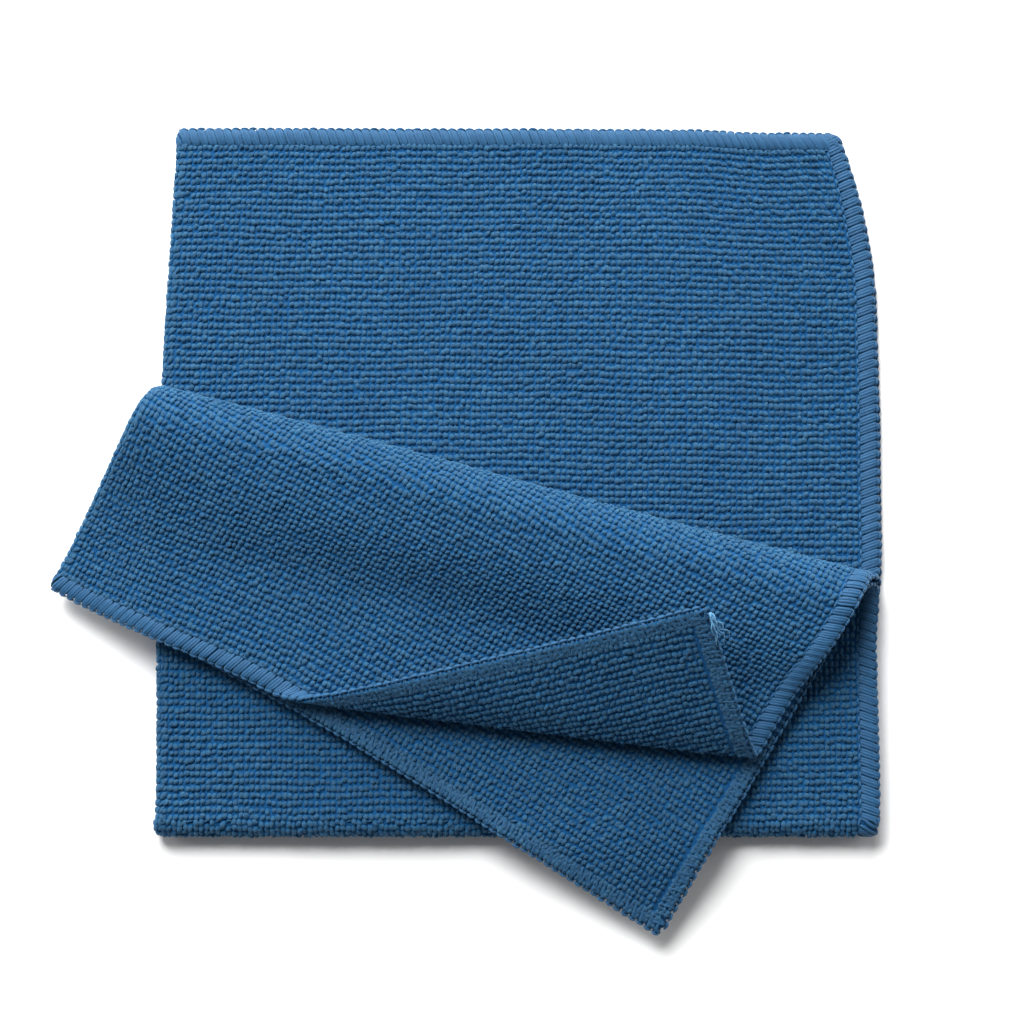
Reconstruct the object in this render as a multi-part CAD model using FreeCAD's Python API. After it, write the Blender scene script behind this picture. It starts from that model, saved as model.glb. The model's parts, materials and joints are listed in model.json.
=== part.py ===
"""Folded microfibre polishing cloth.

One square cloth is folded in half lengthwise (front side out, fold at -X, side hems at +X), then folded in
three across: the bottom panel runs from the back hem forward to the front fold, the middle panel runs back
to a skewed fold, and the flap lies forward over the middle panel. The flap's upper layer has its front right
corner turned back. Lengths are in millimetres, +Z is up and -Y is the front.
"""

import FreeCAD, Part
import math
import os

os.makedirs("parts", exist_ok=True)

Vector = FreeCAD.Vector
UP = Vector(0, 0, 1)

# Driving dimensions
strip_width = 150.0       # half of the square cloth
bottom_length = 146.3     # back hem to the axis of the front fold
layer = 1.7               # one thickness of cloth, pile included
fold_skew_deg = 15.0      # the flap's fold line against the X axis
fold_left_y = 88.0        # axis of the flap's fold above the front fold's axis, at the left edge
flap_left_length = 43.5   # axis of the flap's fold to the flap's end hem, along the left edge
body_gap = 0.15           # between the middle panel and the flap
crease_gap = 0.1          # between the flap and a corner laid flat on it
joint_gap = 0.3           # between a fold's axis and the leaf that turns about it
turned_front = 98.0       # length of front hem that is turned back with the corner
turned_side = 40.5        # length of side hem that is turned back with the corner
raised_deg = 38.0         # the turned corner stands this far above the flap
hem_width = 3.4
hem_edge = 0.4            # thread outside the cloth's raw edge
web = 0.9                 # the cloth is pressed to this thickness inside a hem
groove = 0.4              # row of needle stitches along a hem's inner side
needle_radius = 0.17
tail_radius = 0.35
tail_length = 6.0

# Derived positions before the assembly is centred
half_width = strip_width / 2
skew = math.radians(fold_skew_deg)
fold_drop = strip_width * math.tan(skew)
flap_right_length = flap_left_length + fold_drop
middle_z = 2 * layer
fold_axis_z = 4 * layer + body_gap / 2
flap_z = 4 * layer + body_gap
crease_z = flap_z + 2 * layer + crease_gap / 2
far = 400.0


class Leaf:
    """Plan of one panel: s runs across it from the lengthwise fold, t runs along it."""

    def __init__(self, origin, along_s, along_t):
        self.origin = origin
        self.along_s = along_s
        self.along_t = along_t

    def point(self, s, t, z=0.0):
        return self.origin + self.along_s * s + self.along_t * t + UP * z


fold_left = Vector(-half_width, fold_left_y, 0)
fold_right = Vector(half_width, fold_left_y - fold_drop, 0)
fold_line = (fold_right - fold_left).normalize()
bottom = Leaf(Vector(-half_width, 0, 0), Vector(1, 0, 0), Vector(0, 1, 0))
flap_s = Vector(math.cos(2 * skew), -math.sin(2 * skew), 0)
flap_t = Vector(-math.sin(2 * skew), -math.cos(2 * skew), 0)
flap_end_left = fold_left + flap_t * flap_left_length
flap = Leaf(flap_end_left, flap_s, flap_t * -1)
crease_start = flap.point(strip_width - turned_front, 0)
crease_end = flap.point(strip_width, turned_side)
crease_line = (crease_end - crease_start).normalize()


def prism(points, z, height):
    """Upright solid on a plan outline."""
    corners = [Vector(p.x, p.y, z) for p in points]
    face = Part.Face(Part.makePolygon(corners + corners[:1]))
    return face.extrude(UP * height)


def beside(point, direction, side):
    """Tall block that fills one side of an upright plane through a line."""
    start = point - direction * far
    end = point + direction * far
    return prism([start, end, end + side * far, start + side * far], -far, 2 * far)


def panel_outline(leaf, s_range, t_range):
    s0, s1 = s_range
    t0, t1 = t_range
    return [leaf.point(s0, t0), leaf.point(s1, t0), leaf.point(s1, t1), leaf.point(s0, t1)]


def cloth_leaf(leaf, t_range, z, hem_at_start, hem_at_end):
    """One thickness of cloth with a thin web running into its hems."""
    t0, t1 = t_range
    inner_s = strip_width - hem_width - groove
    inner_t0 = t0 + (hem_width + groove if hem_at_start else 0)
    inner_t1 = t1 - (hem_width + groove if hem_at_end else 0)
    web_t0 = t0 + (hem_edge if hem_at_start else 0)
    web_t1 = t1 - (hem_edge if hem_at_end else 0)
    body = prism(panel_outline(leaf, (layer, inner_s), (inner_t0, inner_t1)), z, layer)
    web_range = (layer, strip_width - hem_edge)
    edge = prism(panel_outline(leaf, web_range, (web_t0, web_t1)), z + (layer - web) / 2, web)
    return body.fuse(edge).removeSplitter()


def hem_wrap(start, end, outward, z):
    """Looper threads wrapped round a straight cloth edge: a C-shaped bead along the line start to end."""
    r = layer / 2
    inner = start - outward * hem_width
    bend = start - outward * r
    web_low = (layer - web) / 2
    web_high = (layer + web) / 2
    web_end = start - outward * hem_edge
    lines = [
        Part.makeLine(inner + UP * z, bend + UP * z),
        Part.Arc(bend + UP * z, start + UP * (z + r), bend + UP * (z + layer)).toShape(),
        Part.makeLine(bend + UP * (z + layer), inner + UP * (z + layer)),
        Part.makeLine(inner + UP * (z + layer), inner + UP * (z + web_high)),
        Part.makeLine(inner + UP * (z + web_high), web_end + UP * (z + web_high)),
        Part.makeLine(web_end + UP * (z + web_high), web_end + UP * (z + web_low)),
        Part.makeLine(web_end + UP * (z + web_low), inner + UP * (z + web_low)),
        Part.makeLine(inner + UP * (z + web_low), inner + UP * z),
    ]
    return Part.Face(Part.Wire(lines)).extrude(end - start)


def needle_row(start, end, outward, z, on_top):
    """Straight row of needle stitches in the groove beside a hem."""
    offset = outward * (hem_width + groove / 2)
    height = z + (layer - needle_radius if on_top else needle_radius)
    base = start - offset + UP * height
    return Part.makeCylinder(needle_radius, (end - start).Length, base, end - start)


def roll(start, end, outward, z, r_in, r_out, low_deg=-90.0, high_deg=90.0):
    """Part of a round fold along the line start to end, bulging outward."""

    def at(radius, degrees):
        a = math.radians(degrees)
        return start + UP * z + outward * (radius * math.cos(a)) + UP * (radius * math.sin(a))

    middle = (low_deg + high_deg) / 2
    edges = [Part.Arc(at(r_out, low_deg), at(r_out, middle), at(r_out, high_deg)).toShape()]
    if r_in > 0:
        edges.append(Part.makeLine(at(r_out, high_deg), at(r_in, high_deg)))
        edges.append(Part.Arc(at(r_in, high_deg), at(r_in, middle), at(r_in, low_deg)).toShape())
        edges.append(Part.makeLine(at(r_in, low_deg), at(r_out, low_deg)))
    else:
        edges.append(Part.makeLine(at(r_out, high_deg), at(r_out, low_deg)))
    return Part.Face(Part.Wire(edges)).extrude(end - start)


def base_parts():
    """Bottom and middle panels with the front fold between them."""
    parts = {}
    right = Vector(1, 0, 0)
    back = Vector(0, 1, 0)
    before_fold = beside(fold_left, fold_line, Vector(-fold_line.y, fold_line.x, 0) * -1)
    side_start = bottom.point(strip_width, 0)
    side_end = bottom.point(strip_width, bottom_length - hem_width)
    needle_end = bottom.point(strip_width, bottom_length - hem_width - groove)
    fold_start = bottom.point(layer, 0)
    fold_end = bottom.point(layer, bottom_length - hem_width)
    hem_start = bottom.point(layer, bottom_length)
    hem_end = bottom.point(strip_width, bottom_length)
    needle_stop = bottom.point(strip_width - hem_width, bottom_length)
    for level, z, outer_on_top in (("lower", 0.0, False), ("upper", layer, True)):
        parts["bottom_leaf_" + level] = cloth_leaf(bottom, (0, bottom_length), z, False, True)
        parts["bottom_side_hem_" + level] = hem_wrap(side_start, side_end, right, z)
        parts["bottom_side_stitches_" + level] = needle_row(side_start, needle_end, right, z, outer_on_top)
        parts["back_hem_" + level] = hem_wrap(hem_start, hem_end, back, z)
        parts["back_stitches_" + level] = needle_row(hem_start, needle_stop, back, z, outer_on_top)
    left = right * -1
    parts["bottom_side_fold"] = roll(fold_start, fold_end, left, layer, 0, layer)
    parts["back_hem_turn"] = roll(fold_end, hem_start, left, layer, 0, layer)

    reach = fold_left_y + layer
    for level, z, outer_on_top in (("lower", middle_z, False), ("upper", middle_z + layer, True)):
        leaf = cloth_leaf(bottom, (0, reach), z, False, False)
        parts["middle_leaf_" + level] = leaf.common(before_fold)
        long_end = bottom.point(strip_width, reach)
        parts["middle_side_hem_" + level] = hem_wrap(side_start, long_end, right, z).common(before_fold)
        row = needle_row(side_start, long_end, right, z, outer_on_top)
        parts["middle_side_stitches_" + level] = row.common(before_fold)
    middle_fold = roll(fold_start, bottom.point(layer, reach), left, middle_z + layer, 0, layer)
    parts["middle_side_fold"] = middle_fold.common(before_fold)

    front = back * -1
    hem_inner = bottom.point(strip_width - hem_width, 0)
    roll_start = bottom.point(0, 0)
    for level, r_in, r_out in (("inner", 0.0, layer), ("outer", layer, 2 * layer)):
        parts["front_fold_" + level] = roll(roll_start, hem_inner, front, middle_z, r_in, r_out)
        parts["front_fold_hem_" + level] = roll(hem_inner, side_start, front, middle_z, r_in, r_out)
    return parts


def flap_parts():
    """Flap and the skewed fold that joins it to the middle panel."""
    parts = {}
    ahead = Vector(fold_line.y, -fold_line.x, 0)
    beyond_fold = beside(fold_left + ahead * joint_gap, fold_line, ahead)
    crease_back = Vector(-crease_line.y, crease_line.x, 0)
    behind_crease = beside(crease_start, crease_line, crease_back)
    upper_region = beyond_fold.common(behind_crease)
    reach = flap_right_length + layer
    side_start = flap.point(strip_width, hem_width)
    side_end = flap.point(strip_width, reach)
    needle_start = flap.point(strip_width, hem_width + groove)
    front_start = flap.point(layer, 0)
    front_end = flap.point(strip_width, 0)
    needle_end = flap.point(strip_width - hem_width, 0)
    outward = flap.along_t * -1
    levels = (("lower", flap_z, False, beyond_fold), ("upper", flap_z + layer, True, upper_region))
    for level, z, outer_on_top, region in levels:
        leaf = cloth_leaf(flap, (0, reach), z, True, False)
        parts["flap_leaf_" + level] = leaf.common(region)
        parts["flap_side_hem_" + level] = hem_wrap(side_start, side_end, flap.along_s, z).common(region)
        row = needle_row(needle_start, side_end, flap.along_s, z, outer_on_top)
        parts["flap_side_stitches_" + level] = row.common(region)
        parts["flap_front_hem_" + level] = hem_wrap(front_start, front_end, outward, z).common(region)
        row = needle_row(front_start, needle_end, outward, z, outer_on_top)
        parts["flap_front_stitches_" + level] = row.common(region)
    left = flap.along_s * -1
    fold_start = flap.point(layer, hem_width)
    fold_end = flap.point(layer, flap_left_length + layer)
    parts["flap_side_fold"] = roll(fold_start, fold_end, left, flap_z + layer, 0, layer).common(beyond_fold)
    parts["flap_hem_turn"] = roll(front_start, fold_start, left, flap_z + layer, 0, layer)

    behind = ahead * -1
    hem_along = hem_width / math.cos(skew)
    hem_inner = fold_right - fold_line * hem_along
    for level, r_in, r_out in (("inner", body_gap / 2, layer), ("outer", layer, 2 * layer)):
        r_far = r_out + body_gap / 2
        r_near = r_in if level == "inner" else r_in + body_gap / 2
        parts["flap_fold_" + level] = roll(fold_left, hem_inner, behind, fold_axis_z, r_near, r_far)
        parts["flap_fold_hem_" + level] = roll(hem_inner, fold_right, behind, fold_axis_z, r_near, r_far)
    return parts


def turned_leaf_outline(inset_side, inset_front, inset_crease):
    """Plan of the turned corner laid flat on the flap: the mirror image of its place in the cloth."""
    back = Vector(-crease_line.y, crease_line.x, 0)
    corner = flap.point(strip_width - inset_side, inset_front)
    front_line = (flap.point(0, inset_front), flap.along_s)
    side_line = (flap.point(strip_width - inset_side, 0), flap.along_t)
    lines = (front_line, side_line)
    cut = crease_start - back * inset_crease
    ends = []
    for point, direction in lines:
        across = (cut - point).dot(back) / direction.dot(back)
        ends.append(point + direction * across)
    flat = [ends[0], corner, ends[1]]
    return [p + back * (2 * (crease_start - p).dot(back)) for p in flat]


def corner_parts():
    """Front right corner of the flap's upper layer, turned back about the crease."""
    parts = {}
    back = Vector(-crease_line.y, crease_line.x, 0)
    z = crease_z + crease_gap / 2
    inner = hem_width + groove
    body = prism(turned_leaf_outline(inner, inner, joint_gap), z, layer)
    edge_outline = turned_leaf_outline(hem_edge, hem_edge, joint_gap)
    edge = prism(edge_outline, z + (layer - web) / 2, web)
    parts["corner_leaf"] = body.fuse(edge).removeSplitter()
    front_end, apex, side_end = turned_leaf_outline(0, 0, joint_gap)
    region = beside(crease_start + back * joint_gap, crease_line, back)
    along_front = (apex - front_end).normalize()
    along_side = (side_end - apex).normalize()
    front_out = along_side * -1
    run_out = along_front * (2 * hem_width)
    front_hem = hem_wrap(front_end - run_out, apex, front_out, z)
    parts["corner_front_hem"] = front_hem.common(region)
    row_start = front_end - run_out
    row = needle_row(row_start, apex - along_front * hem_width, front_out, z, False)
    parts["corner_front_stitches"] = row.common(region)
    side_start = apex + along_side * hem_width
    run_out = along_side * (3 * hem_width)
    side_hem = hem_wrap(side_start, side_end + run_out, along_front, z)
    parts["corner_side_hem"] = side_hem.common(region)
    row = needle_row(side_start + along_side * groove, side_end + run_out, along_front, z, False)
    parts["corner_side_stitches"] = row.common(region)
    tail_base = apex + along_side * (hem_width / 2) + UP * (z + layer / 2)
    parts["corner_thread_tail"] = Part.makeCylinder(tail_radius, tail_length, tail_base, along_front)
    for shape in parts.values():
        shape.rotate(crease_start + UP * crease_z, crease_line, raised_deg)

    ahead = back * -1
    hem_front = (hem_width + groove) / abs(flap.along_t.dot(back))
    hem_side = hem_width / abs(crease_line.dot(flap.along_s))
    bounds = {
        "crease_front_hem": (crease_start, crease_start + crease_line * hem_front),
        "crease_fold": (crease_start + crease_line * hem_front, crease_end - crease_line * hem_side),
        "crease_side_hem": (crease_end - crease_line * hem_side, crease_end),
    }
    r_in = crease_gap / 2
    for name, (start, end) in bounds.items():
        parts[name] = roll(start, end, ahead, crease_z, r_in, r_in + layer, -90.0, 90.0 - raised_deg)
    return parts


parts = {**base_parts(), **flap_parts(), **corner_parts()}
box = FreeCAD.BoundBox()
for shape in parts.values():
    box.add(shape.optimalBoundingBox(False))
centre = Vector(box.Center.x, box.Center.y, box.ZMin)
for name, shape in parts.items():
    shape.translate(centre * -1)
    shape.exportStep("parts/" + name + ".step")

for name, point in (("flap fold", fold_right + UP * fold_axis_z), ("crease", crease_start + UP * crease_z)):
    place = point - centre
    print(name, "axis through", round(place.x, 3), round(place.y, 3), round(place.z, 3))
print("fold line", fold_line, "crease line", crease_line)
print("size", box.XLength, box.YLength, box.ZLength)
print("base front axis at y", -centre.y, "base centre x", -centre.x)
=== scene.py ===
"""Looks of a folded microfibre polishing cloth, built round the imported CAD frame.

The cloth is described once, as a flat rectangle of knitted terry: q runs across it from -150 to 150 mm with
the lengthwise fold at 0, t runs along it from the back hem to the flap's end hem, and o is the height above
the cloth's middle towards its front side. cloth() carries any such point to its folded place, so the knitted
ground, every pile loop and every hem stitch follow the same folds. The half with positive q is called upper,
because it is the flap's upper layer. Lengths are in metres.
"""
import json
import math

import bpy
import numpy as np
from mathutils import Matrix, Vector


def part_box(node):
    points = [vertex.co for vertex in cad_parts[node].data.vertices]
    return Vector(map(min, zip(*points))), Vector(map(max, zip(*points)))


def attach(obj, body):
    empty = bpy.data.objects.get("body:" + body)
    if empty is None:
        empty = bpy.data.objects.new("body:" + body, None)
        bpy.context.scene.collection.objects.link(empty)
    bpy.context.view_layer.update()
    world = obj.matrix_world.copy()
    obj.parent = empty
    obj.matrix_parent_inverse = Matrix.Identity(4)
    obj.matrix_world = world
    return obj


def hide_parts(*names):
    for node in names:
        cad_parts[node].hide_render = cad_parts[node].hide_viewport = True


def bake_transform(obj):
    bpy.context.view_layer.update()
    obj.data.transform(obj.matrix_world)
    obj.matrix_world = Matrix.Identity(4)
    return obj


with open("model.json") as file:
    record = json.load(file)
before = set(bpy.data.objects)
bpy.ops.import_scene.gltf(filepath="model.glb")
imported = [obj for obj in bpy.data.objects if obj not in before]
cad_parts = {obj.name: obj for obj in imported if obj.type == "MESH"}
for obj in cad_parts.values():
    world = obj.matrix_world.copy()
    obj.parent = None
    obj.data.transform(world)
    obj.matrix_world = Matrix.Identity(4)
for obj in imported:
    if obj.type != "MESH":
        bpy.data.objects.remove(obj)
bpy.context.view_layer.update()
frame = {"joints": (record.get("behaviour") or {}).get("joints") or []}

MM = 0.001
UP = np.array([0.0, 0.0, 1.0])
rng = np.random.default_rng(7)

# The cloth
half = 150 * MM            # lengthwise fold to the side edges
end = 294.5 * MM           # back edge to the flap's end edge
layer = 1.7 * MM           # one thickness, pile on both faces included
ground = 0.6 * MM          # the knitted ground alone
inset = 0.2 * MM           # the ground stops this far inside the edges
wale = 1.13 * MM           # pitch of the loops across the cloth
course = 1.47 * MM         # pitch of the loops along the cloth
loop_across = 0.54 * MM    # a loop's half width across the cloth
loop_along = 0.67 * MM     # its half width along the cloth
loop_height = 0.62 * MM    # and its height
most_loops = 4800          # in one piece
hem = 3.3 * MM             # width of the overlocked hems
stitch = 1.93 * MM         # pitch of the overlock stitches
side_r = layer / 2         # radius of the lengthwise fold, at the middle of one layer
front_r = layer            # radius of the front fold, between its two layers
least_z = 0.02 * MM        # nothing of the cloth goes below this

# Places from the CAD frame
joints = {j["name"]: j for j in frame["joints"]}
fold_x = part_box("bottom_side_fold")[0][0]
front_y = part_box("front_fold_outer")[1][1]
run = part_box("back_hem_upper")[1][1] - front_y    # the cloth from its back edge to the front fold
front_end = run + math.pi * front_r               # and to the end of that fold

# The flap's rolled fold: its line, a point on it and the level direction square to it
askew = math.radians(0.4)  # the soft fold lies this far askew to the hinge
lead = 0.6 * MM            # and starts this far in front of it
hinge = -np.array(joints["flap_fold"]["axis"])
line_x = hinge[0] * math.cos(askew) - hinge[1] * math.sin(askew)
line_y = hinge[0] * math.sin(askew) + hinge[1] * math.cos(askew)
line = np.array([line_x, line_y, 0.0]) / math.hypot(line_x, line_y)
behind = np.array([-line[1], line[0], 0.0])
axis_point = np.array(joints["flap_fold"]["pos_m"]) - behind * lead

# Directions across and along the cloth where it lies on the flap, mirrored in that line
across = 2 * line[0] * line - np.array([1.0, 0.0, 0.0])
forward = 2 * line[1] * line - np.array([0.0, 1.0, 0.0])

# The turned corner: lengths of hem that are turned back, and the direction square to its crease in (q, t)
turned_front = 98.2 * MM
turned_side = 39.7 * MM
kink = half - turned_front
crease_length = math.hypot(turned_front, turned_side)
crease_q = turned_side / crease_length
crease_t = turned_front / crease_length

# How the flap lies beyond its rolled fold
slack_reach = 28 * MM      # its upper layer goes slack, and the lower one bows, over this length
slack_shift = 4.0 * MM     # the upper layer's end falls this far short
slack_lift = 5.0 * MM      # four times the height by which it bulges on the way
slack_narrow = 1.7 * MM    # and its side lies this much further in
lower_bow = 3.3 * MM       # bow of the lower layer's end
flap_narrow = 1.7 * MM     # both sides lie this much further in at the flap's end

# How the whole stack lies
under_spread = 0.5 * MM    # the lowest layer's side spreads
corner_reach = 60 * MM     # the back corners are drawn in from this far away
left_pull = 2.3 * MM
right_pull = 7.6 * MM
right_swell = 2.1 * MM     # the right side of the lower panels swells
swell_loss = 1.3 * MM      # and less so towards the back
side_wave = 0.35 * MM      # waves of the sides, of the back and in the height
back_wave = 0.5 * MM
high_wave = 0.5 * MM
back_shift = 1.3 * MM      # the back edge lies this much further back
back_slant = 0.8 * MM      # and less so at its right end
flap_base = 6 * MM         # the flap lies above about this height
left_droop = 4.6 * MM      # its overhangs droop on the left
front_droop = 4.8 * MM     # and in front
droop_reach = 15 * MM      # within about this length


def bend(segments, reach=0.17, step=0.05 * MM):
    """Side view of a bent sheet: tables of length, travel, rise and angle for (length, turn) parts."""
    s = np.arange(0, reach, step)
    curvature = np.zeros_like(s)
    start = 0.0
    for length, turn in segments:
        inside = (s >= start) & (s < start + length)
        curvature[inside] = math.radians(turn) / (inside.sum() * step)
        start += length
    angle = np.cumsum(curvature) * step
    travel = np.cumsum(np.cos(angle)) * step
    rise = np.cumsum(np.sin(angle)) * step
    return s, travel, rise, angle


roll = bend([(4.5 * MM, 90), (13 * MM, 95), (8 * MM, 15), (24 * MM, -20)])
roll_top = 17.4 * MM       # length of cloth in the rolled fold
curl = bend([(4.4 * MM, 126), (9 * MM, 23)])
curl_top = 10 * MM         # length of cloth in the crease's curl


def along(table, s):
    """Travel, rise and angle of a bent sheet at lengths s."""
    return [np.interp(s, table[0], column) for column in table[1:]]


def smooth(x):
    x = np.clip(x, 0, 1)
    return x * x * (3 - 2 * x)


def unit(v):
    return v / np.maximum(np.linalg.norm(v, axis=-1, keepdims=True), 1e-12)


def strip_x(q):
    """x of a point of the strip that the lengthwise fold makes."""
    return fold_x + np.maximum(np.abs(q) - math.pi * side_r / 2 + side_r, 0)


def roll_distance(q, t):
    """How far past the start of the rolled fold a point of the cloth lies, measured square to the fold."""
    y = front_y + t - front_end
    return (strip_x(q) - axis_point[0]) * behind[0] + (y - axis_point[1]) * behind[1]


def roll_start(q, w=0.0):
    """The t at which the cloth has passed w into the rolled fold."""
    y = axis_point[1] + (w - (strip_x(q) - axis_point[0]) * behind[0]) / behind[1]
    return y - front_y + front_end


def crease_distance(q, t):
    """How far beyond the turned corner's crease a point of the cloth lies, towards the corner."""
    return (np.abs(q) - kink) * crease_q + (t - end) * crease_t


def crease_start(q, c=0.0):
    """The t at which the cloth has passed c beyond the crease."""
    return end + (c - (np.abs(q) - kink) * crease_q) / crease_t


def strip_place(s, t, off):
    """Place of a point of the two-layer strip: s from the lengthwise fold, off above the strip's middle."""
    turn = np.clip((t - run) / front_r, 0, math.pi)
    beyond = np.clip(t - front_end, 0, None)
    y = front_y + np.clip(run - t, 0, None) - front_r * np.sin(turn) + beyond
    z = layer + front_r * (1 - np.cos(turn))
    place = np.stack([fold_x + s, y, z], -1)
    normal = np.stack([np.zeros_like(turn), np.sin(turn), np.cos(turn)], -1)
    w = np.clip(((place - axis_point) @ behind) * (beyond > 0), 0, None)
    travel, rise, angle = along(roll, w)
    place = place + (travel - w)[..., None] * behind + rise[..., None] * UP
    rolled = np.sin(angle)[..., None] * behind - np.cos(angle)[..., None] * UP
    normal = np.where((w > 0)[..., None], rolled, normal)
    return place + off[..., None] * normal


def settle(p):
    """The lie of the soft cloth: drawn-in back corners, drooping overhangs and gentle waves."""
    x, y, z = p[..., 0].copy(), p[..., 1].copy(), p[..., 2].copy()
    u = x - fold_x
    v = y - front_y
    left = np.clip(1 - u / corner_reach, 0, 1)
    right = np.clip(u / corner_reach - 1.5, 0, 1)
    behind_left = np.clip((v - 92 * MM) / (56 * MM), 0, 1.1)
    behind_right = np.clip((v - 108 * MM) / (40 * MM), 0, 1.1)
    x += left_pull * left * behind_left**1.5 - right_pull * right * behind_right**2
    low = 1 - np.clip((z - 5.5 * MM) / (5 * MM), 0, 1)
    swell = right_swell * smooth((v - 34 * MM) / (26 * MM))
    x += right * low * (swell - swell_loss * np.clip((v - 85 * MM) / (40 * MM), 0, 1))
    x += side_wave * np.sin(v / (19 * MM) + 1.0) * (v > 0)
    rear = smooth((v - 70 * MM) / (70 * MM))
    y += back_wave * np.sin(u / (31 * MM) + 0.6) * np.clip(v / (40 * MM), 0, 1) * (1 - 0.7 * rear)
    y += rear * (back_shift - back_slant * smooth((u - 112 * MM) / (22 * MM)))
    high = np.clip((z - flap_base) / MM, 0, 1)
    over_left = np.clip(-u + 2 * MM, 0, None)
    over_front = np.clip(-v - 2 * MM, 0, None)
    x += 0.08 * over_left * high
    droop = left_droop * (1 - np.exp(-((over_left / droop_reach) ** 2)))
    droop = droop + front_droop * (1 - np.exp(-((over_front / droop_reach) ** 2)))
    z -= droop * high
    wave = np.sin(u / (23 * MM) + 0.7 * np.sin(v / (29 * MM))) * np.sin(v / (27 * MM) + 0.4)
    wave = wave + 0.5 * np.sin(u / (9 * MM) + v / (17 * MM)) * np.sin(v / (13 * MM) - 1.1)
    z += high_wave * wave * np.clip(z / (2 * layer), 0, 1)
    return np.stack([x, y, z], -1)


def cloth(q, t, o):
    """Folded place of flat point (q, t) at height o above the cloth's middle towards its front side."""
    q, t, o = np.broadcast_arrays(np.asarray(q, float), np.asarray(t, float), np.asarray(o, float))
    outward = np.abs(q) / half
    turn = np.clip(q / side_r, -math.pi / 2, math.pi / 2)
    flat = np.clip(np.abs(q) - math.pi * side_r / 2, 0, None)
    turned = (q > 0) & (crease_distance(q, t) > 0)
    height = np.where(turned, 0.0, o)
    past = np.clip(t - roll_start(q, roll_top), 0, None) * (t > run + 20 * MM)
    slack = smooth(past / slack_reach) * (q > 0)
    bow = smooth(past / slack_reach) * (q < 0) * np.sin(math.pi * outward**0.7)
    s = side_r - (side_r + height) * np.cos(turn) + flat
    s = s - flap_narrow * outward**2 * np.clip(past / (72 * MM), 0, 1.1)
    s = s - slack_narrow * slack * np.clip(outward, 0, 1) ** 2
    s = s + under_spread * outward**2 * ((q < 0) & (t < run))
    off = (side_r + height) * np.sin(turn) + slack_lift * slack * (1 - slack) * smooth(q / (50 * MM))
    place = strip_place(s, t - slack_shift * slack * smooth(q / (55 * MM)) - lower_bow * bow, off)
    c = np.where(turned, crease_distance(q, t), 0.0)
    travel, rise, angle = along(curl, c)
    ahead = across * crease_q + forward * crease_t
    curled = place + (travel - c)[..., None] * ahead + rise[..., None] * UP
    curled_out = np.cos(angle)[..., None] * UP - np.sin(angle)[..., None] * ahead
    curled = curled + o[..., None] * curled_out
    return settle(np.where(turned[..., None], curled, place))


def cloth_frame(q, t, o):
    """Place, directions along q and t, and front side normal."""
    e = 0.04 * MM
    place = cloth(q, t, o)
    along_q = unit(cloth(q + e, t, o) - cloth(q - e, t, o))
    along_t = unit(cloth(q, t + e, o) - cloth(q, t - e, o))
    normal = unit(cloth(q, t, o + e) - cloth(q, t, o - e))
    return place, along_q, along_t, normal


# Materials

def new_material(name, roughness, sheen, sheen_tint):
    material = bpy.data.materials.new(name)
    material.use_nodes = True
    tree = material.node_tree
    shader = tree.nodes["Principled BSDF"]
    shader.inputs["Roughness"].default_value = roughness
    shader.inputs["Specular IOR Level"].default_value = 0.25
    shader.inputs["Sheen Weight"].default_value = sheen
    shader.inputs["Sheen Roughness"].default_value = 0.45
    shader.inputs["Sheen Tint"].default_value = (*sheen_tint, 1)
    return material, tree, shader


def ramp(tree, source, stops):
    node = tree.nodes.new("ShaderNodeValToRGB")
    elements = node.color_ramp.elements
    while len(elements) < len(stops):
        elements.new(0.5)
    for element, (position, colour) in zip(elements, stops):
        element.position = position
        element.color = (*colour, 1)
    tree.links.new(source, node.inputs["Fac"])
    return node.outputs["Color"]


def multiply(tree, a, b):
    node = tree.nodes.new("ShaderNodeMix")
    node.data_type = "RGBA"
    node.blend_type = "MULTIPLY"
    node.inputs["Factor"].default_value = 1.0
    tree.links.new(a, node.inputs["A"])
    tree.links.new(b, node.inputs["B"])
    return node.outputs["Result"]


def noise(tree, scale, detail=3.0, vector=None):
    node = tree.nodes.new("ShaderNodeTexNoise")
    node.inputs["Scale"].default_value = scale
    node.inputs["Detail"].default_value = detail
    if vector is None:
        vector = tree.nodes.new("ShaderNodeTexCoord").outputs["Object"]
    tree.links.new(vector, node.inputs["Vector"])
    return node.outputs["Fac"]


def attribute(tree, name):
    node = tree.nodes.new("ShaderNodeAttribute")
    node.attribute_name = name
    return node.outputs["Fac"]


def bump(tree, shader, height, strength, distance):
    node = tree.nodes.new("ShaderNodeBump")
    node.inputs["Strength"].default_value = strength
    node.inputs["Distance"].default_value = distance
    tree.links.new(height, node.inputs["Height"])
    tree.links.new(node.outputs["Normal"], shader.inputs["Normal"])


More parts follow.
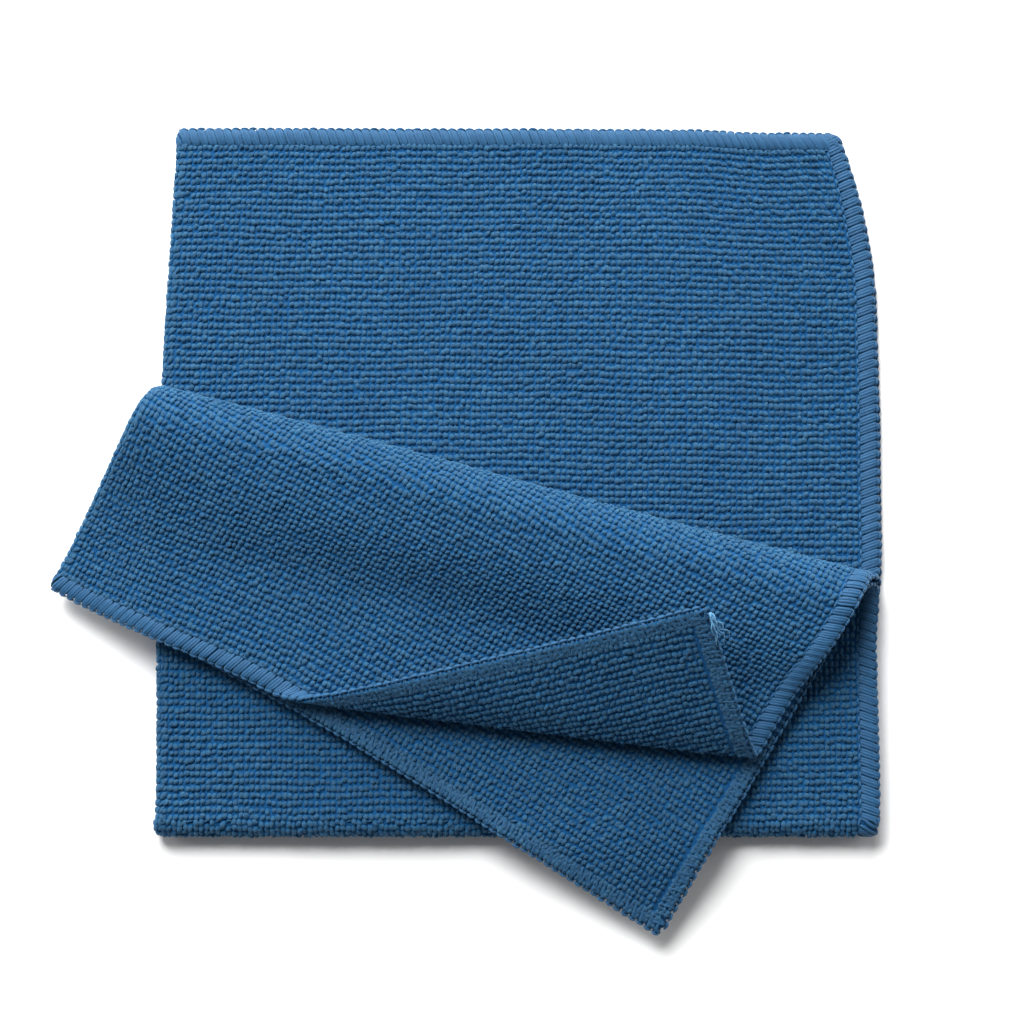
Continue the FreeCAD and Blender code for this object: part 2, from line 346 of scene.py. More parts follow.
def pile_material():
    """Blue loops, darker at their roots in painted shade, partly their fibres' own denser blue, and paler and
    greyer at their tips in a painted highlight; their tone varies from loop to loop and over broad patches.
    """
    material, tree, shader = new_material("terry_pile", 0.8, 0.45, (0.25, 0.60, 1.0))
    # Painted shade darkens the loops' roots, partly their own denser fibres; a painted highlight makes their
    # tips paler and greyer
    shaded_root_to_lit_tip = [(0.0, (0.001, 0.062, 0.175)), (0.5, (0.007, 0.073, 0.175)), (1.0, (0.030, 0.085, 0.156))]
    tip = ramp(tree, attribute(tree, "tip"), shaded_root_to_lit_tip)
    tone = ramp(tree, attribute(tree, "tone"), [(0.0, (0.80, 0.82, 0.85)), (1.0, (1.12, 1.10, 1.06))])
    colour = multiply(tree, tip, tone)
    broad = ramp(tree, noise(tree, 45.0), [(0.3, (0.88, 0.90, 0.92)), (0.7, (1.08, 1.06, 1.05))])
    colour = multiply(tree, colour, broad)
    fibres = noise(tree, 5200.0, 4.0)
    # Fibre-scale tone: partly the fibres' own random tone, partly painted glints in pale specks at its bright
    # end
    fibre_tone_and_glints = ramp(tree, fibres, [(0.3, (0.62, 0.66, 0.72)), (0.7, (1.42, 1.34, 1.26))])
    colour = multiply(tree, colour, fibre_tone_and_glints)
    tree.links.new(colour, shader.inputs["Base Color"])
    bump(tree, shader, fibres, 0.6, 0.12 * MM)
    shader.inputs["Specular IOR Level"].default_value = 0.12
    return material


def ground_material():
    """The knitted ground, darker than the loops that hide it: partly its own deeper blue, partly painted
    shade in the gaps between the loops.
    """
    material, tree, shader = new_material("terry_ground", 0.95, 0.2, (0.3, 0.5, 0.8))
    knit = noise(tree, 2500.0, 2.0)
    # Dark ground colour: painted shade in the gaps between the loops, partly the ground's own deeper blue
    colour = ramp(tree, knit, [(0.3, (0.001, 0.048, 0.148)), (0.7, (0.003, 0.072, 0.20))])
    tree.links.new(colour, shader.inputs["Base Color"])
    bump(tree, shader, knit, 0.8, 0.2 * MM)
    return material


def thread_material(name, dark, light):
    """Satin thread whose fibres run along each strand."""
    material, tree, shader = new_material(name, 0.6, 0.25, (0.35, 0.68, 1.0))
    uv = tree.nodes.new("ShaderNodeUVMap")
    uv.uv_map = "Fibre"
    mapping = tree.nodes.new("ShaderNodeMapping")
    mapping.inputs["Scale"].default_value = (3.0, 16.0, 1.0)
    tree.links.new(uv.outputs["UV"], mapping.inputs["Vector"])
    fibres = noise(tree, 1.6, 5.0, mapping.outputs["Vector"])
    colour = ramp(tree, fibres, [(0.28, dark), (0.72, light)])
    tone = ramp(tree, attribute(tree, "tone"), [(0.0, (0.86, 0.88, 0.90)), (1.0, (1.10, 1.08, 1.06))])
    colour = multiply(tree, colour, tone)
    tree.links.new(colour, shader.inputs["Base Color"])
    bump(tree, shader, fibres, 0.4, 0.1 * MM)
    return material


pile_blue = pile_material()
ground_blue = ground_material()
thread_blue = thread_material("overlock_thread", (0.005, 0.05, 0.13), (0.024, 0.105, 0.222))
tail_blue = thread_material("tail_thread", (0.05, 0.20, 0.38), (0.17, 0.40, 0.62))


# Meshes

def build(name, points, quads, uv, material, body=None, **values):
    """Object from all-quad mesh data, with a baking layout and one number per point for each named value."""
    mesh = bpy.data.meshes.new(name)
    mesh.vertices.add(len(points))
    mesh.vertices.foreach_set("co", np.ascontiguousarray(points, np.float32).ravel())
    mesh.loops.add(quads.size)
    mesh.loops.foreach_set("vertex_index", np.ascontiguousarray(quads, np.int32).ravel())
    mesh.polygons.add(len(quads))
    mesh.polygons.foreach_set("loop_start", np.arange(0, quads.size, 4, dtype=np.int32))
    mesh.update(calc_edges=True)
    mesh.polygons.foreach_set("use_smooth", np.ones(len(quads), bool))
    for layer_name, coords in uv.items():
        uv_layer = mesh.uv_layers.new(name=layer_name)
        uv_layer.data.foreach_set("uv", np.ascontiguousarray(coords[quads.ravel()], np.float32).ravel())
    for key, numbers in values.items():
        point_values = mesh.attributes.new(key, "FLOAT", "POINT")
        point_values.data.foreach_set("value", np.ascontiguousarray(numbers, np.float32))
    mesh.materials.append(material)
    piece = bpy.data.objects.new(name, mesh)
    bpy.context.scene.collection.objects.link(piece)
    if body:
        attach(piece, body)
    return piece


def grid_quads(rows, columns):
    i = np.arange((rows - 1) * (columns - 1))
    a = (i // (columns - 1)) * columns + i % (columns - 1)
    return np.stack([a, a + 1, a + columns + 1, a + columns], -1)


def ground_sheet(name, q_values, lines, steps, body=None):
    """Closed thin sheet of knitted ground from line to line, each a function t(q), in so many steps each."""
    columns = len(q_values)
    t = [lines[0](q_values)]
    for low_line, high_line, count in zip(lines, lines[1:], steps):
        for v in np.arange(1, count + 1) / count:
            t.append(low_line(q_values) * (1 - v) + high_line(q_values) * v)
    t = np.array(t)
    rows = len(t)
    q = np.broadcast_to(q_values[None, :], (rows, columns))
    top = cloth(q, t, ground / 2).reshape(-1, 3)
    low = cloth(q, t, -ground / 2).reshape(-1, 3)
    count = rows * columns
    quads = grid_quads(rows, columns)
    index = np.arange(count).reshape(rows, columns)
    ring = np.concatenate([index[0, :], index[1:, -1], index[-1, -2::-1], index[-2:0:-1, 0]])
    after = np.roll(ring, -1)
    rim = np.stack([after, ring, ring + count, after + count], -1)
    quads = np.concatenate([quads, quads[:, ::-1] + count, rim])
    u = (q - q.min()) / (q.max() - q.min())
    w = (t - t.min()) / (t.max() - t.min())
    flat = np.stack([u.ravel() * 0.49, w.ravel()], -1)
    uv = np.concatenate([flat, flat + [0.51, 0.0]])
    return build(name, np.concatenate([top, low]), quads, {"OFBake": uv}, ground_blue, body)


def dome():
    """Template of one pile loop: points as (across, along, up) shares of its size."""
    ring = np.arange(8) * math.pi / 4
    points = []
    for radius, up in ((0.88, 0.0), (1.0, 0.40), (0.72, 0.82)):
        points += [(radius * math.cos(a), radius * math.sin(a), up) for a in ring]
    points.append((0.0, 0.0, 1.0))
    quads = []
    for k in range(2):
        for i in range(8):
            j = (i + 1) % 8
            quads.append((8 * k + i, 8 * k + j, 8 * k + 8 + j, 8 * k + 8 + i))
    quads += [(16 + i, 16 + (i + 1) % 8, 16 + (i + 2) % 8, 24) for i in (0, 2, 4, 6)]
    return np.array(points), np.array(quads)


def stretched(q, t, face):
    """How much wider and longer than flat the pile's level is, where the folds stretch or press it."""
    e = 0.3 * MM
    mid = face * (ground / 2 + 0.3 * MM)
    wider = np.linalg.norm(cloth(q + e, t, mid) - cloth(q - e, t, mid), axis=-1) / (2 * e)
    longer = np.linalg.norm(cloth(q, t + e, mid) - cloth(q, t - e, mid), axis=-1) / (2 * e)
    wider, longer = np.clip(wider, 0.55, 1.9), np.clip(longer, 0.55, 1.9)
    on_side_fold = np.abs(q) < 2 * MM
    wider = np.where(on_side_fold, np.clip(wider * 0.62, 0.8, 1.3), wider)
    longer = np.where(on_side_fold, longer * 1.25, longer)
    on_front_fold = np.abs(t - (run + front_end) / 2) < 3 * MM
    return wider, np.where(on_front_fold, np.clip(longer * 0.62, 0.8, 1.3), longer)


def pile(name, q, t, face, body=None, tall=1.0):
    """Pile loops on one face of the cloth, face 1 for its front side and -1 for its back side."""
    template, faces = dome()
    n = len(q)
    q = q + rng.normal(0, 0.055 * MM, n)
    t = t + rng.normal(0, 0.09 * MM, n)
    place, along_q, along_t, normal = cloth_frame(q, t, face * (ground / 2 - 0.05 * MM))
    wider, longer = stretched(q, t, face)
    spin = rng.normal(0, 0.3, n) + 0.3 * np.sin(q / (13 * MM) + 2 * np.sin(t / (21 * MM)))
    cos, sin = np.cos(spin)[:, None], np.sin(spin)[:, None]
    wide = along_q * cos + along_t * sin
    deep = along_t * cos - along_q * sin
    size = 1 + rng.normal(0, 0.07, n)
    width = (loop_across * size * wider * (1 + rng.normal(0, 0.06, n)))[:, None]
    depth = (loop_along * size * longer * (1 + rng.normal(0, 0.08, n)))[:, None]
    height = (loop_height * tall * (1 + rng.normal(0, 0.16, n)))[:, None]
    height = height * (1 - 0.3 * (np.abs(q) < 1.8 * MM))[:, None]
    lean_q = rng.normal(0, 0.22, n)[:, None]
    lean_t = (rng.normal(0, 0.24, n) - 0.2 * (face > 0))[:, None]
    up = normal * face + wide * lean_q + deep * lean_t
    x, y, z = template[:, 0], template[:, 1], template[:, 2]
    points = place[:, None] + (wide * width)[:, None] * x[:, None] + (deep * depth)[:, None] * y[:, None]
    points = points + (up * height)[:, None] * z[:, None]
    points[..., 2] = np.maximum(points[..., 2], least_z)
    cells = faces[None] + len(template) * np.arange(n)[:, None, None]
    if face < 0:
        cells = cells[..., ::-1]
    span_q = q.max() - q.min() + 2 * wale
    span_t = t.max() - t.min() + 2 * course
    u = (q[:, None] - q.min() + wale + 0.42 * wale * x) / span_q
    v = (t[:, None] - t.min() + course + 0.42 * course * y) / span_t
    uv = {"OFBake": np.stack([u.ravel(), v.ravel()], -1)}
    tone = np.repeat(rng.uniform(0, 1, n), len(template))
    points, quads = points.reshape(-1, 3), cells.reshape(-1, 4)
    return build(name, points, quads, uv, pile_blue, body, tip=np.tile(z, n), tone=tone)


def tubes(paths, outs, half_width, half_height, sections):
    """Strands along many paths at once: paths and outs are (strand, ring, 3); sizes are per ring."""
    n, rings = paths.shape[:2]
    tangent = np.gradient(paths, axis=1)
    side = unit(np.cross(unit(tangent), outs))
    out = unit(np.cross(side, unit(tangent)))
    angle = np.arange(sections) * 2 * math.pi / sections
    ring_side = (half_width[..., None, None] * np.cos(angle)[:, None]) * side[:, :, None]
    ring_out = (half_height[..., None, None] * np.sin(angle)[:, None]) * out[:, :, None]
    points = paths[:, :, None] + ring_side + ring_out
    per = rings * sections
    quads = []
    for k in range(rings - 1):
        for i in range(sections):
            j = (i + 1) % sections
            quads.append((k * sections + i, k * sections + j, (k + 1) * sections + j, (k + 1) * sections + i))
    for first, order in ((0, -1), ((rings - 1) * sections, 1)):
        for i in range(1, sections - 2, 2):
            cap = (first, first + i, first + i + 1, first + i + 2)
            quads.append(cap[::order])
    quads = (np.array(quads)[None] + per * np.arange(n)[:, None, None]).reshape(-1, 4)
    columns = max(1, int(math.sqrt(n)))
    rows = -(-n // columns)
    strand = np.arange(n)
    u = np.broadcast_to(np.arange(rings)[:, None] / (rings - 1), (rings, sections)).ravel()
    from_back = np.abs(np.arange(sections) - sections / 2) / (sections / 2)
    around = np.broadcast_to(from_back, (rings, sections)).ravel()
    bake_u = ((strand % columns)[:, None] + 0.05 + 0.9 * u) / columns
    bake_v = ((strand // columns)[:, None] + 0.05 + 0.9 * around) / rows
    bake = np.stack([bake_u.ravel(), bake_v.ravel()], -1)
    fibre = np.stack([np.tile(u, n) + np.repeat(strand * 0.37, per), np.tile(around, n)], -1)
    tone = np.repeat(rng.uniform(0, 1, n), per)
    return points.reshape(-1, 3), quads, bake, fibre, tone


def edge_to_cloth(edge, e, l, o):
    """Place of a hem point: e inward from the edge, l along it and o towards the cloth's front side."""
    if edge == "side_upper":
        return cloth(half - e, l, o)
    if edge == "side_lower":
        return cloth(e - half, l, o)
    if edge == "back":
        return cloth(l, e, o)
    return cloth(l, end - e, o)


def hem_strands(edge, stations):
    """Overlock stitches at stations along an edge: looper strands, back zigzag, edge knots, needle thread."""
    n = len(stations)
    l0 = stations[:, None] + rng.normal(0, 0.015 * stitch, (n, 1))
    parts = []

    def strand(e, o, shift, out_e, out_o, width, height):
        """One strand per stitch: e, o and sizes in mm, shift in stitches; its thin way is (out_e, out_o)."""
        e = np.broadcast_to(np.array(e) * MM, (n, len(e))) + rng.normal(0, 0.05 * MM, (n, 1))
        o = np.broadcast_to(np.array(o) * MM, e.shape) + rng.normal(0, 0.02 * MM, (n, 1))
        l = l0 + np.array(shift) * stitch
        path = edge_to_cloth(edge, e, l, o)
        step = 0.05 * MM
        inward = edge_to_cloth(edge, e + step, l, o) - path
        up = edge_to_cloth(edge, e, l, o + step) - path
        outs = unit(unit(inward) * np.array(out_e)[:, None] + unit(up) * np.array(out_o)[:, None])
        w = np.broadcast_to(np.array(width) * MM, e.shape) * (1 + rng.normal(0, 0.06, (n, 1)))
        h = np.broadcast_to(np.array(height) * MM, e.shape)
        parts.append(tubes(path, outs, w, h, sections=6))

    # Front: three looper strands, from the needle line round the edge
    slant = np.array([0.62, 0.56, 0.42, 0.26, 0.10, -0.04, -0.1, -0.1])
    spread = np.array([0.6, 0.85, 1, 1, 1, 0.85, 0.6, 0.4])
    arch = np.array([0.34, 0.50, 0.62, 0.68, 0.62, 0.46, 0.17, -0.15])
    for k, rise in ((-1, -0.02), (0, 0.04), (1, -0.02)):
        strand(e=[3.4, 3.1, 2.4, 1.6, 0.8, 0.15, -0.2, -0.2], o=arch + rise, shift=slant + 0.295 * k * spread,
               out_e=[0.3, 0.1, 0, 0, 0, -0.4, -1, -1], out_o=[1, 1, 1, 1, 1, 1, 0.3, -0.3],
               width=[0.22, 0.34, 0.38, 0.39, 0.39, 0.36, 0.30, 0.2],
               height=[0.14, 0.18, 0.22, 0.23, 0.22, 0.2, 0.18, 0.15])
    # Back: two plies that run in from the edge and out again
    inbound = np.array([0.0, 0.05, 0.18, 0.34, 0.5])
    outbound = np.array([0.5, 0.66, 0.82, 0.95, 1.0])
    for k in (-0.5, 0.5):
        strand(e=[-0.15, 0.5, 1.5, 2.5, 3.3], o=[-0.30, -0.50, -0.60, -0.58, -0.40],
               shift=inbound + 0.10 * k, out_e=[-0.6, -0.1, 0, 0, 0.2], out_o=[-1, -1, -1, -1, -1],
               width=[0.2, 0.2, 0.19, 0.18, 0.14], height=[0.15, 0.15, 0.15, 0.13, 0.1])
        strand(e=[3.3, 2.5, 1.5, 0.5, -0.15], o=[-0.40, -0.54, -0.52, -0.46, -0.30],
               shift=outbound + 0.10 * k, out_e=[0.2, 0, 0, -0.1, -0.6], out_o=[-1, -1, -1, -1, -1],
               width=[0.14, 0.18, 0.19, 0.2, 0.2], height=[0.1, 0.13, 0.15, 0.15, 0.15])
    # A knot on the edge, and the needle thread along its line
    strand(e=[-0.28, -0.40, -0.46, -0.40, -0.28], o=[-0.12, -0.06, 0.0, 0.04, 0.08],
           shift=[-0.45, -0.22, 0.0, 0.22, 0.45], out_e=[-1, -1, -1, -1, -1], out_o=[0.1, 0, 0, 0, 0],
           width=[0.25, 0.44, 0.52, 0.44, 0.25], height=[0.17, 0.28, 0.32, 0.28, 0.17])
    strand(e=[3.5, 3.52, 3.5], o=[0.40, 0.56, 0.40], shift=[-0.42, 0.0, 0.42],
           out_e=[0, 0, 0], out_o=[1, 1, 1], width=[0.14, 0.22, 0.14], height=[0.12, 0.18, 0.12])
    return parts


def hem_piece(name, edge, stations, body=None):
    """One mesh of all the overlock stitches at stations along an edge."""
    parts = hem_strands(edge, stations)
    offset = 0
    quads = []
    for part in parts:
        quads.append(part[1] + offset)
        offset += len(part[0])
    points = np.concatenate([part[0] for part in parts])
    points[:, 2] = np.maximum(points[:, 2], least_z)
    rows = len(parts)
    bake = np.concatenate([(part[2] + [0, k]) / [1, rows] for k, part in enumerate(parts)])
    fibre = np.concatenate([part[3] for part in parts])
    tone = np.concatenate([part[4] for part in parts])
    uv = {"OFBake": bake, "Fibre": fibre}
    return build(name, points, np.concatenate(quads), uv, thread_blue, body, tone=tone)


# Ground sheets
fine_zone = 3 * MM         # closer columns within this distance of the lengthwise fold
edge_q = half - inset
end_t = end - inset
to_fold = np.linspace(-edge_q, -fine_zone, 74)
from_fold = np.linspace(fine_zone, edge_q, 74)
wide_q = np.concatenate([to_fold[:-1], np.linspace(-fine_zone, fine_zone, 17), from_fold[1:]])
low_q = wide_q[wide_q <= 0]
high_parts = [(0, fine_zone, 9), (fine_zone, kink, 27), (kink, edge_q, 50)]
high_q = np.unique(np.concatenate([np.linspace(*part) for part in high_parts]))
corner_q = np.linspace(kink + 0.4 * MM, edge_q, 60)
far_q = corner_q[crease_start(corner_q, curl_top) < end - 0.6 * MM]


def line_at(value):
    return lambda q: np.full(q.shape, value)


def upper_end(q):
    return np.minimum(end_t, crease_start(q))


def roll_end(q):
    return roll_start(q, roll_top)


def curl_end(q):
    return np.minimum(end_t, crease_start(q, curl_top))


back_line, run_line, front_line, end_line = (line_at(v) for v in (inset, run, front_end, end_t))
bottom_sheet = ground_sheet("ground_bottom", wide_q, [back_line, run_line], [75], "base")
middle_sheet = ground_sheet("ground_middle", wide_q, [run_line, front_line, roll_start], [12, 45], "base")
roll_sheet = ground_sheet("ground_flap_roll", wide_q, [roll_start, roll_end], [30])
flap_low = ground_sheet("ground_flap_lower", low_q, [roll_end, end_line], [45], "flap")
flap_high = ground_sheet("ground_flap_upper", high_q, [roll_end, upper_end], [45], "flap")
curl_sheet = ground_sheet("ground_crease", corner_q, [crease_start, curl_end], [24])
corner_sheet = ground_sheet("ground_corner", far_q, [curl_end, end_line], [30], "corner")

# The lattice of the knit: closer rows round the two inner folds, and gentle waves
flat_q = np.arange(2 * MM, half - hem - 0.2 * wale, wale)
lattice_q = np.concatenate([-flat_q[::-1], np.linspace(-1.4, 1.4, 5) * MM, flat_q])
before_fold = np.arange(hem + 0.3 * course, run, course)
round_fold = np.linspace(run + 0.1 * MM, front_end - 0.1 * MM, 8)
after_fold = np.arange(front_end + 0.62 * course, end - hem - 0.2 * course, course)
lattice_t = np.concatenate([before_fold, round_fold, after_fold])
grid_q, grid_t = [a.ravel() for a in np.meshgrid(lattice_q, lattice_t)]
slow_wave = 0.22 * MM * np.sin(grid_q / (17 * MM))
quick_wave = 0.12 * MM * np.sin(grid_q / (5 * MM) + grid_t / (9 * MM))
grid_t = grid_t + slow_wave + quick_wave

# Pile loops of each panel: lattice points, face and body
past = roll_distance(grid_q, grid_t)
beyond = crease_distance(grid_q, grid_t)
upper = grid_q >= 0
near_side = np.abs(grid_q) < 5 * MM
in_bottom = grid_t < run
in_front = (grid_t >= run) & (grid_t < front_end)
in_middle = (grid_t >= front_end) & (past < 0)
in_roll = (grid_t >= front_end) & (past >= 0) & (past < roll_top)
in_flap = (grid_t >= front_end) & (past >= roll_top)
turned = upper & (beyond > 0)
in_curl = turned & (beyond < curl_top)
in_corner = turned & (beyond >= curl_top)
by_front = near_side | (grid_t < front_end + 4 * MM)
seen_inside = (beyond > -16 * MM) & (grid_q < -4 * MM)
seen_lining = (beyond > -8 * MM) & (grid_q > 4 * MM)
pile_parts = [
    ("pile_bottom_top", in_bottom & upper, 1, "base"),
    ("pile_bottom_under", in_bottom & ~upper, 1, "base"),
    ("pile_front_fold", in_front & (~upper | near_side), 1, "base"),
    ("pile_middle_top", in_middle & ~upper, 1, "base"),
    ("pile_middle_under", in_middle & upper & by_front, 1, "base"),
    ("pile_flap_roll", in_roll & (upper | near_side), 1, None),
    ("pile_flap_roll_inside", in_roll & ~upper & ~near_side, 1, None),
    ("pile_flap_top", in_flap & upper & ~turned, 1, "flap"),
    ("pile_flap_under", in_flap & ~upper, 1, "flap"),
    ("pile_flap_inside", in_flap & ~upper & seen_inside, -1, "flap"),
    ("pile_flap_lining", in_flap & upper & ~turned & seen_lining, -1, "flap"),
    ("pile_crease_front", in_curl, 1, None),
    ("pile_crease_back", in_curl, -1, None),
    ("pile_corner_front", in_corner, 1, "corner"),
    ("pile_corner_back", in_corner, -1, "corner"),
]
piles = {}
for name, mask, face, body in pile_parts:
    chosen = np.flatnonzero(mask)
    chunks = np.array_split(chosen, -(-len(chosen) // most_loops))
    for k, chunk in enumerate(chunks):
        label = name if len(chunks) == 1 else f"{name}_{k + 1}"
        piles[label] = pile(label, grid_q[chunk], grid_t[chunk], face, body)

# Low loops under the hem threads of the opened corner, in three rows along each edge
rim = np.array([0.7, 1.7, 2.7]) * MM
front_l = np.arange(1.0 * MM, half - 1.2 * MM, 1.0 * MM)
side_l = end - hem - np.arange(0.3 * MM, 100 * MM, 1.0 * MM)
front_q, front_t = [a.ravel() for a in np.meshgrid(front_l, end - rim)]
side_q, side_t = [a.ravel() for a in np.meshgrid(half - rim, side_l)]
rim_q, rim_t = np.concatenate([front_q, side_q]), np.concatenate([front_t, side_t])
rim_beyond = crease_distance(rim_q, rim_t)
rim_parts = [
    ("pile_rim_inside", -rim_q, (rim_beyond > -6 * MM) | (rim_q < half - hem), "flap"),
    ("pile_rim_crease", rim_q, (rim_beyond > 0) & (rim_beyond < curl_top), None),
    ("pile_rim_corner", rim_q, rim_beyond >= curl_top, "corner"),
]
for name, q, mask, body in rim_parts:
    piles[name] = pile(name, q[mask], rim_t[mask], -1, body, tall=0.75)

# Hems
side_stations = np.arange(0.9 * MM, end - 0.6 * MM, stitch)
side_past = roll_distance(np.full_like(side_stations, half), side_stations)
side_beyond = crease_distance(np.full_like(side_stations, half), side_stations)
side_base = side_past < 0
side_roll = (side_past >= 0) & (side_past < roll_top) & (side_stations > front_end)
side_flap = (side_past >= roll_top) & (side_stations > front_end)
end_stations = np.arange(-half + 0.9 * MM, half - 0.6 * MM, stitch)
end_beyond = crease_distance(end_stations, np.full_like(end_stations, end))
end_upper = end_stations >= 0
end_turned = end_upper & (end_beyond > 0)
hem_parts = [
    ("hem_back_upper", "back", end_stations[end_upper], "base"),
    ("hem_back_lower", "back", end_stations[~end_upper], "base"),
    ("hem_side_upper", "side_upper", side_stations[side_base], "base"),
    ("hem_side_lower", "side_lower", side_stations[side_base], "base"),
    ("hem_roll_upper", "side_upper", side_stations[side_roll], None),
    ("hem_roll_lower", "side_lower", side_stations[side_roll], None),
    ("hem_flap_side_upper", "side_upper", side_stations[side_flap & (side_beyond <= 0)], "flap"),
    ("hem_flap_side_lower", "side_lower", side_stations[side_flap], "flap"),
    ("hem_flap_front_upper", "front", end_stations[end_upper & ~end_turned], "flap"),
    ("hem_flap_front_lower", "front", end_stations[~end_upper], "flap"),
    ("hem_crease_side", "side_upper", side_stations[(side_beyond > 0) & (side_beyond < curl_top)], None),
    ("hem_crease_front", "front", end_stations[end_turned & (end_beyond < curl_top)], None),
    ("hem_corner_side", "side_upper", side_stations[side_beyond >= curl_top], "corner"),
    ("hem_corner_front", "front", end_stations[end_turned & (end_beyond >= curl_top)], "corner"),
]
hems = {name: hem_piece(name, edge, stations, body) for name, edge, stations, body in hem_parts}

# Thread chain left at the turned corner: a short twist that frays and hangs behind the corner
tail_ends = 6
tail_rings = 26
tail_r = 0.17 * MM
turns = np.linspace(0, 1, tail_rings)
tail_root = cloth(half - 0.4 * MM, end - 0.6 * MM, 0.0) + np.array([1.2, -0.4, 0.3]) * MM
tail_paths = []
for strand in range(tail_ends):
    reach = (4.5 + 3.0 * rng.random()) * MM
    heading = math.radians(-62 + 18 * (strand - 2.5) / 2.5)
    forwards = np.array([math.cos(heading), math.sin(heading), 0.0])
    sideways = np.array([-forwards[1], forwards[0], 0.0])
    wobble = 0.45 * MM * turns * np.sin(turns * (9 + 2 * strand) + strand)
    drop = 0.5 * MM * np.sin(3 * turns) - (3.0 + 3.0 * rng.random()) * MM * turns**2
    path = tail_root + (reach * turns)[:, None] * forwards + wobble[:, None] * sideways + drop[:, None] * UP
    twist = 0.22 * MM * (1 - turns)
    path = path + (twist * np.cos(turns * 14 + strand))[:, None] * sideways
    tail_paths.append(path + (twist * np.sin(turns * 14 + strand))[:, None] * UP)
tail_outs = np.broadcast_to(np.array([0.0, 0.2, 1.0]), (tail_ends, tail_rings, 3))
width = np.broadcast_to(tail_r * (1 - 0.55 * turns), (tail_ends, tail_rings))
points, quads, bake, fibre, tone = tubes(np.array(tail_paths), tail_outs, width, width, sections=8)
tail = build("thread_tail", points, quads, {"OFBake": bake, "Fibre": fibre}, tail_blue, "corner", tone=tone)

# Pieces of the rolled fold and the crease, on no body: their placement is baked into their points
rolled = [roll_sheet, piles["pile_flap_roll"], piles["pile_flap_roll_inside"], hems["hem_roll_upper"],
          hems["hem_roll_lower"]]
for piece in rolled:
    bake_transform(piece)
curls = [curl_sheet, piles["pile_crease_front"], piles["pile_crease_back"], piles["pile_rim_crease"],
         hems["hem_crease_side"], hems["hem_crease_front"]]
for piece in curls:
    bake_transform(piece)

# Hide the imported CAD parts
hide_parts("bottom_leaf_lower", "bottom_leaf_upper", "bottom_side_fold")
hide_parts("front_fold_inner", "front_fold_outer", "middle_leaf_lower", "middle_leaf_upper",
            "middle_side_fold")
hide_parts("flap_fold_inner", "flap_fold_outer")
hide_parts("flap_leaf_lower", "flap_side_fold")
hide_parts("flap_leaf_upper")
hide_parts("crease_fold")
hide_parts("corner_leaf")
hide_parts("back_hem_upper", "back_stitches_upper")
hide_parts("back_hem_lower", "back_stitches_lower", "back_hem_turn")
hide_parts("bottom_side_hem_upper", "bottom_side_stitches_upper",
            "front_fold_hem_inner", "middle_side_hem_lower", "middle_side_stitches_lower")
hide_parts("bottom_side_hem_lower", "bottom_side_stitches_lower",
            "front_fold_hem_outer", "middle_side_hem_upper", "middle_side_stitches_upper")
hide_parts("flap_fold_hem_outer")
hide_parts("flap_fold_hem_inner")
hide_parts("flap_side_hem_upper", "flap_side_stitches_upper")
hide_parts("flap_side_hem_lower", "flap_side_stitches_lower")
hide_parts("flap_front_hem_upper", "flap_front_stitches_upper")
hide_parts("flap_front_hem_lower", "flap_front_stitches_lower",
            "flap_hem_turn")
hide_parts("crease_side_hem")
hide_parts("crease_front_hem")
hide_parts("corner_side_hem", "corner_side_stitches")
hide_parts("corner_front_hem", "corner_front_stitches")
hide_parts("corner_thread_tail")


def leaf_area(low_line, high_line):
    """Flat area of one layer of the folded strip between two lines t(q)."""
    return half * float(np.mean(high_line(low_q) - low_line(low_q)))


# Flat areas of the strip from the front fold to the rolled fold, both layers, and of one layer of the flap
2 * leaf_area(run_line, roll_start)
flap_area = leaf_area(roll_end, end_line)


# Floor, backdrop, light and camera

def paper_material():
    """Pale paper that glows towards its rim, where it meets the white backdrop."""
    material, tree, shader = new_material("pale_paper", 0.9, 0.0, (1, 1, 1))
    tint = ramp(tree, noise(tree, 3.0), [(0.4, (0.93, 0.93, 0.93)), (0.6, (0.96, 0.96, 0.96))])
    tree.links.new(tint, shader.inputs["Base Color"])
    reach = tree.nodes.new("ShaderNodeVectorMath")
    reach.operation = "LENGTH"
    tree.links.new(tree.nodes.new("ShaderNodeTexCoord").outputs["Object"], reach.inputs[0])
    glow = tree.nodes.new("ShaderNodeMapRange")
    glow.inputs["From Min"].default_value = 0.22
    glow.inputs["From Max"].default_value = 0.7
    tree.links.new(reach.outputs["Value"], glow.inputs["Value"])
    tree.links.new(glow.outputs["Result"], shader.inputs["Emission Strength"])
    shader.inputs["Emission Color"].default_value = (1, 1, 1, 1)
    return material


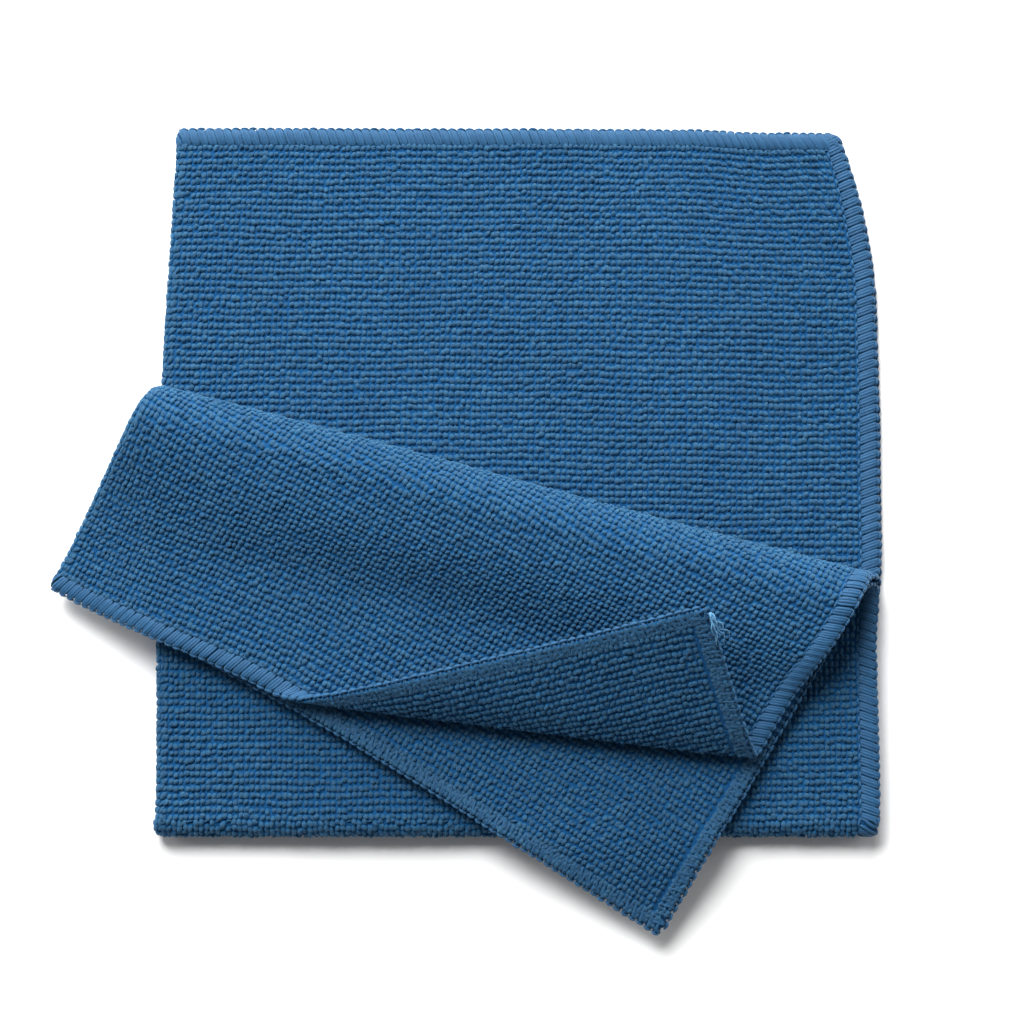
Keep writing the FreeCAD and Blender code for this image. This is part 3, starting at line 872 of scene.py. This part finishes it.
def backdrop_material():
    material, _, shader = new_material("pale_backdrop", 1.0, 0.0, (1, 1, 1))
    shader.inputs["Base Color"].default_value = (0.9, 0.9, 0.9, 1)
    shader.inputs["Emission Color"].default_value = (1, 1, 1, 1)
    shader.inputs["Emission Strength"].default_value = 0.95
    return material


def area_light(name, place, size, power):
    """Square light that shines on the origin."""
    data = bpy.data.lights.new(name, "AREA")
    data.shape = "SQUARE"
    data.size = size
    data.energy = power
    light = bpy.data.objects.new(name, data)
    light.location = place
    direction = Vector((0, 0, 0)) - Vector(place)
    light.rotation_euler = direction.to_track_quat("-Z", "Y").to_euler()
    bpy.context.scene.collection.objects.link(light)


bpy.ops.mesh.primitive_circle_add(vertices=96, radius=0.8, fill_type="NGON", location=(0, 0, 0))
floor = bpy.context.object
floor.name = "floor"
floor.data.materials.append(paper_material())

bpy.ops.mesh.primitive_uv_sphere_add(segments=48, ring_count=24, radius=3.0, location=(0, 0, 0))
backdrop = bpy.context.object
backdrop.name = "backdrop"
backdrop.visible_diffuse = backdrop.visible_glossy = backdrop.visible_shadow = False
backdrop.data.materials.append(backdrop_material())

world = bpy.data.worlds.new("studio")
bpy.context.scene.world = world
world.use_nodes = True
world.node_tree.nodes["Background"].inputs["Color"].default_value = (1, 1, 1, 1)
world.node_tree.nodes["Background"].inputs["Strength"].default_value = 0.13

area_light("key", (-0.26, 0.525, 0.76), 0.5, 14.5)
area_light("rim", (0.0, 1.0, 0.36), 0.5, 14)
area_light("right", (1.2, 0.45, 0.45), 0.6, 4.5)
area_light("left", (-1.2, 0.4, 0.5), 0.6, 4)
area_light("front", (0.1, -1.0, 0.9), 0.8, 0.8)

target = np.array([9.4 * MM, 4.0 * MM, 5 * MM])
elevation = math.radians(83)
distance = 0.60
camera_data = bpy.data.cameras.new("camera")
camera_data.lens = 100
camera_data.sensor_width = 36
camera = bpy.data.objects.new("camera", camera_data)
camera.location = target + distance * np.array([0, -math.cos(elevation), math.sin(elevation)])
camera.rotation_euler = (math.pi / 2 - elevation, 0, 0)
bpy.context.scene.collection.objects.link(camera)
bpy.context.scene.camera = camera
bpy.context.scene.view_settings.view_transform = "Standard"
